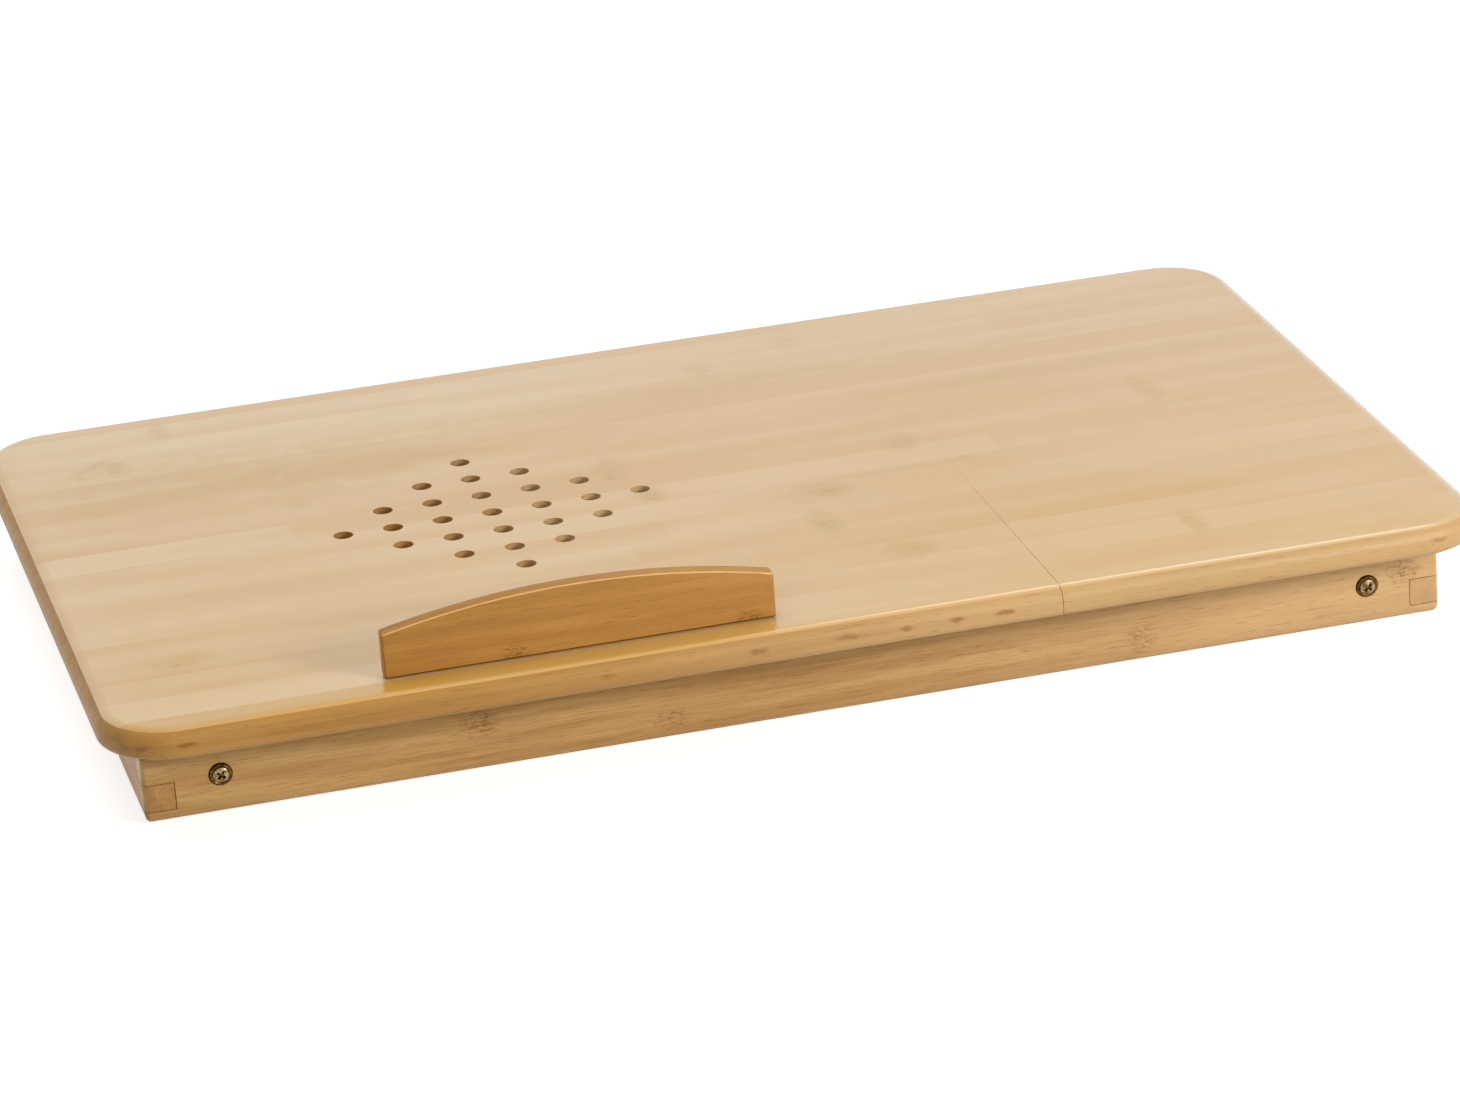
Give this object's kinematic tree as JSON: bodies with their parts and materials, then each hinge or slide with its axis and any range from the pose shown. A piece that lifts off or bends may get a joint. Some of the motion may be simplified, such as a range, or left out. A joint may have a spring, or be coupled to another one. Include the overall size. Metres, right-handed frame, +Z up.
{
  "type": "folding laptop table",
  "caption": "Low bamboo laptop table with a tilting vented board, an arched book stop, a fixed side board, a side drawer and fold-flat leg pairs under a finger-jointed frame.",
  "frame": {"origin": "under the middle of the folded table, on the surface it lies on", "axes": "+X along the width towards the fixed side board and the drawer, +Y away from the user, +Z up"},
  "size_m": [0.55, 0.35, 0.0741],
  "materials": {
    "top_bamboo": "satin clear varnish over pale strip bamboo",
    "frame_bamboo": "satin clear varnish over caramel bamboo",
    "leg_bamboo": "satin clear varnish over caramel bamboo",
    "stop_bamboo": "satin clear varnish over orange-brown bamboo",
    "screw_brass": "antique, darkened in the recesses",
    "hinge_steel": "zinc plated"
  },
  "bodies": {
    "frame": {"front_rail": "frame_bamboo", "back_rail": "frame_bamboo", "left_rail": "frame_bamboo", "right_rail": "frame_bamboo", "divider_rail": "frame_bamboo", "fixed_top_board": "top_bamboo", "leg_stop_front_left": "frame_bamboo", "leg_stop_front_right": "frame_bamboo", "leg_stop_back_left": "frame_bamboo", "leg_stop_back_right": "frame_bamboo", "pivot_screw_front_left": "screw_brass", "pivot_screw_front_right": "screw_brass", "pivot_screw_back_left": "screw_brass", "pivot_screw_back_right": "screw_brass", "pivot_washer_front_left": "hinge_steel", "pivot_washer_front_right": "hinge_steel", "pivot_washer_back_left": "hinge_steel", "pivot_washer_back_right": "hinge_steel", "pivot_nut_front_left": "screw_brass", "pivot_nut_front_right": "screw_brass", "pivot_nut_back_left": "screw_brass", "pivot_nut_back_right": "screw_brass", "prop_rack_left": "frame_bamboo", "prop_rack_right": "frame_bamboo", "drawer_runner_near": "frame_bamboo", "drawer_runner_far": "frame_bamboo", "hinge_fixed_leaf_left": "hinge_steel", "hinge_fixed_leaf_right": "hinge_steel", "hinge_pin_left": "hinge_steel", "hinge_pin_right": "hinge_steel"},
    "left_legs": {"left_leg_front": "leg_bamboo", "left_leg_back": "leg_bamboo", "left_leg_stretcher": "leg_bamboo"},
    "right_legs": {"right_leg_front": "leg_bamboo", "right_leg_back": "leg_bamboo", "right_leg_stretcher": "leg_bamboo"},
    "tilting_top": {"tilting_top_board": "top_bamboo", "book_stop": "stop_bamboo", "book_stop_dowel_left": "frame_bamboo", "book_stop_dowel_right": "frame_bamboo", "hinge_moving_leaf_left": "hinge_steel", "hinge_moving_leaf_right": "hinge_steel", "prop_bracket_left": "frame_bamboo", "prop_bracket_right": "frame_bamboo", "prop_pin_left": "hinge_steel", "prop_pin_right": "hinge_steel"},
    "prop": {"prop_arm_left": "leg_bamboo", "prop_arm_right": "leg_bamboo", "prop_rod": "leg_bamboo", "prop_stretcher": "leg_bamboo"},
    "drawer": {"drawer_front": "frame_bamboo", "drawer_side_near": "frame_bamboo", "drawer_side_far": "frame_bamboo", "drawer_back": "frame_bamboo", "drawer_bottom": "top_bamboo"}
  },
  "joints": [
    {"name": "left_leg_fold", "type": "hinge", "parent": "frame", "child": "left_legs", "pos_m": [-0.23, 0, 0.0158], "axis": [0, 1, 0], "range_deg": [0, 95]},
    {"name": "right_leg_fold", "type": "hinge", "parent": "frame", "child": "right_legs", "pos_m": [0.23, 0, 0.0158], "axis": [0, -1, 0], "range_deg": [0, 95]},
    {"name": "board_tilt", "type": "hinge", "parent": "frame", "child": "tilting_top", "pos_m": [-0.089, -0.1505, 0.0323], "axis": [1, 0, 0], "range_deg": [0, 30]},
    {"name": "prop_swing", "type": "hinge", "parent": "tilting_top", "child": "prop", "pos_m": [-0.089, -0.0225, 0.0301], "axis": [1, 0, 0], "range_deg": [-60, 0]},
    {"name": "drawer_slide", "type": "slide", "parent": "frame", "child": "drawer", "axis": [1, 0, 0], "range_m": [0, 0.11]}
  ],
  "couplings": [
    {"joint": "prop_swing", "follows": "board_tilt", "ratio": -2}
  ]
}
